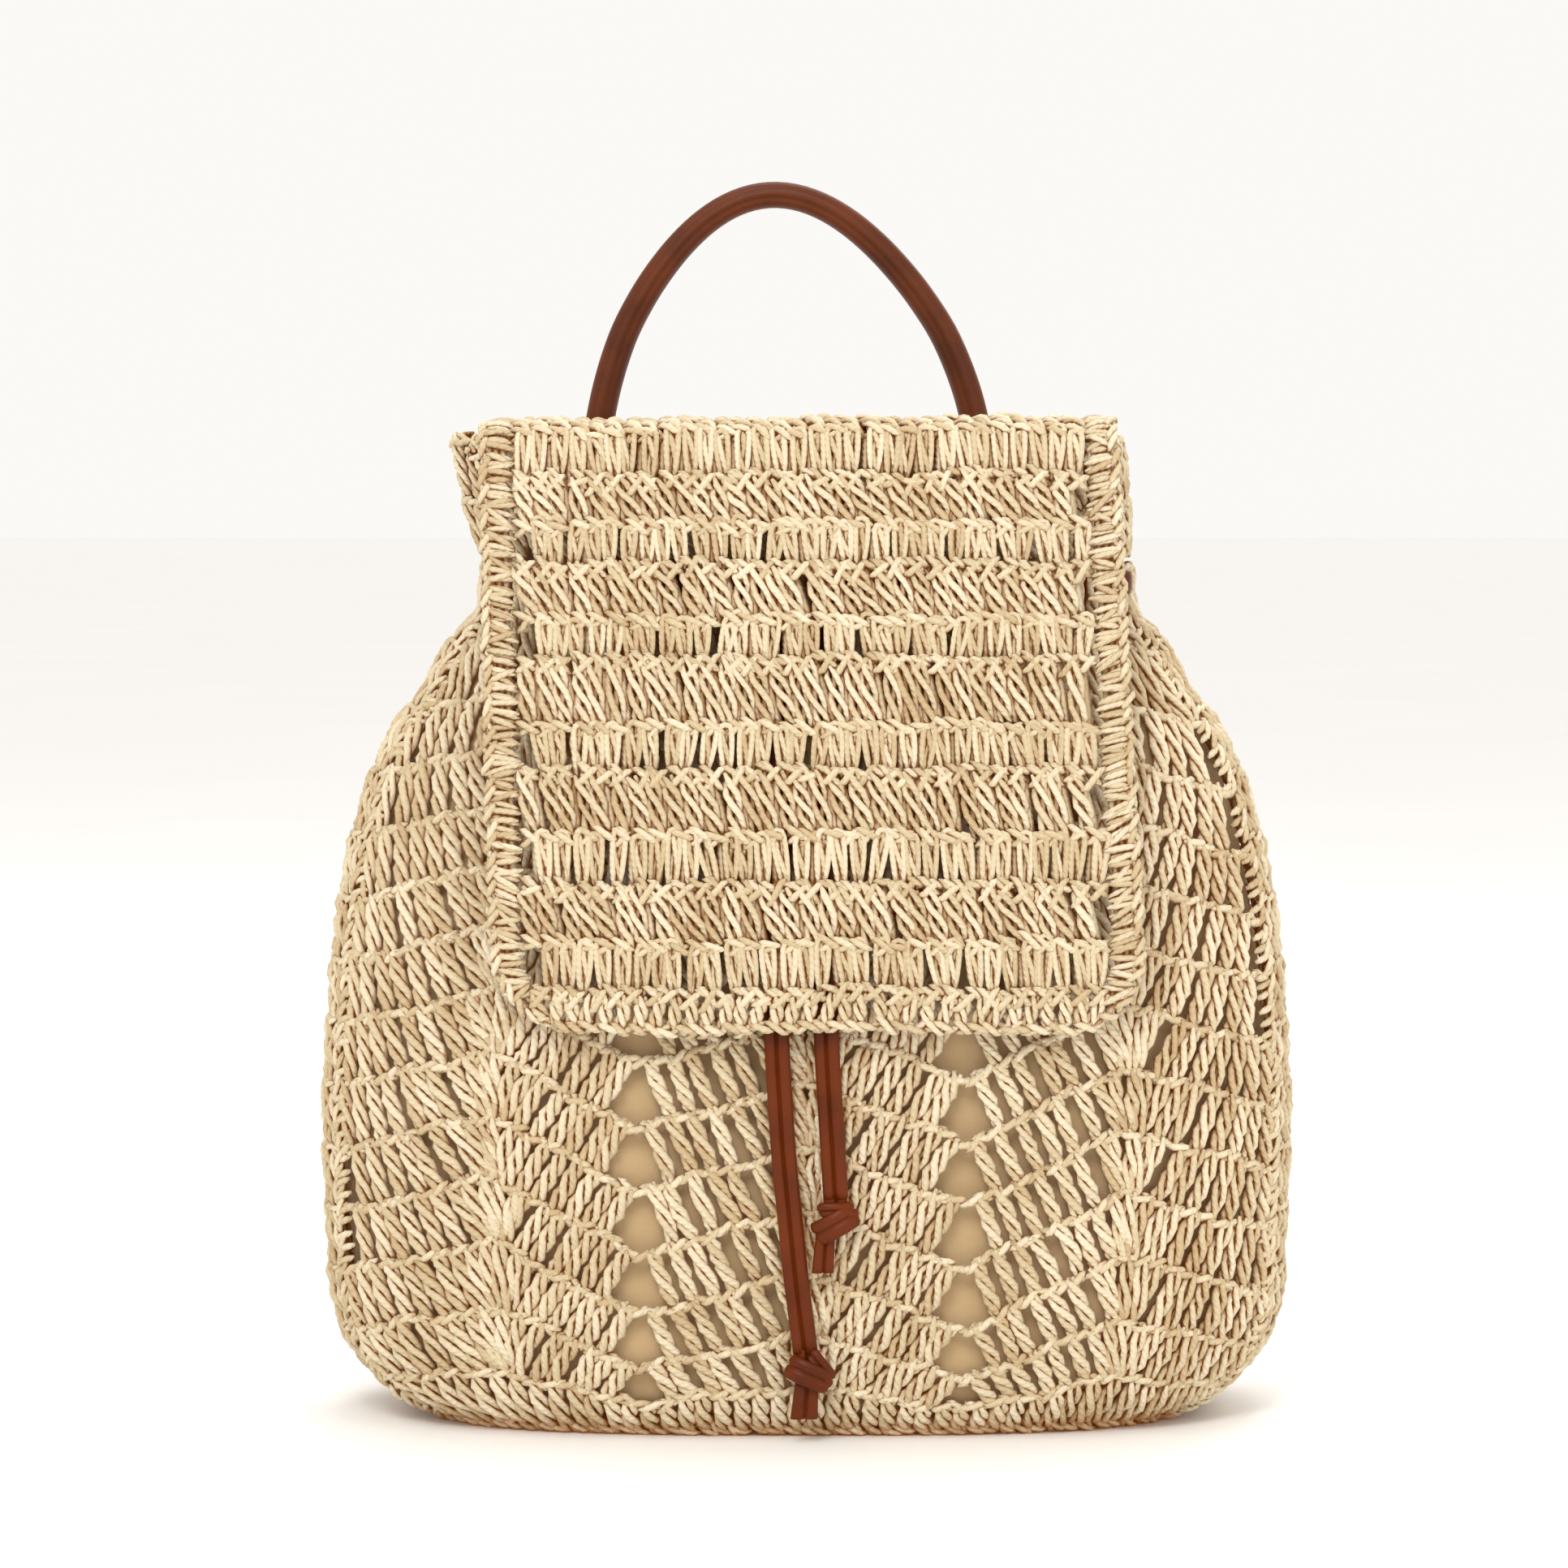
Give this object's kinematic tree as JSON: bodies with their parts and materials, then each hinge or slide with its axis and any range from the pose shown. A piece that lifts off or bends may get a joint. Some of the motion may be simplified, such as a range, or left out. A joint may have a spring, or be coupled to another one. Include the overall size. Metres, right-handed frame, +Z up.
{
  "type": "crocheted straw backpack",
  "caption": "Soft straw backpack in openwork ripple crochet over a cloth lining, with a large flap, leather drawstring, top handle and shoulder straps.",
  "frame": {"origin": "on the floor under the middle of the bag's footprint, measured without the hanging drawstring tails", "axes": "+Z up, the flap and drawstring face -Y, the shoulder straps are at +Y, +X to the right seen from the front"},
  "size_m": [0.304, 0.1467, 0.3841],
  "materials": {
    "straw": "matt twisted paper straw cord, crocheted",
    "lining": "plain weave cotton lining",
    "leather": "smooth reddish brown leather, folded and stitched",
    "strap_leather": "dark brown leather, edge painted",
    "nickel": "polished nickel plated steel"
  },
  "bodies": {
    "root": {"front_panel": "straw", "back_panel": "straw", "gusset": "straw", "collar": "straw", "flap": "straw", "lining": "lining", "drawstring_loop": "leather", "drawstring_tail_left": "leather", "drawstring_tail_right": "leather", "knot_left": "leather", "knot_right": "leather", "handle": "leather", "handle_tab_left": "leather", "handle_tab_right": "leather", "strap_left": "strap_leather", "strap_right": "strap_leather", "strap_patch": "strap_leather", "strap_slider_left": "nickel", "strap_slider_right": "nickel"}
  },
  "joints": []
}
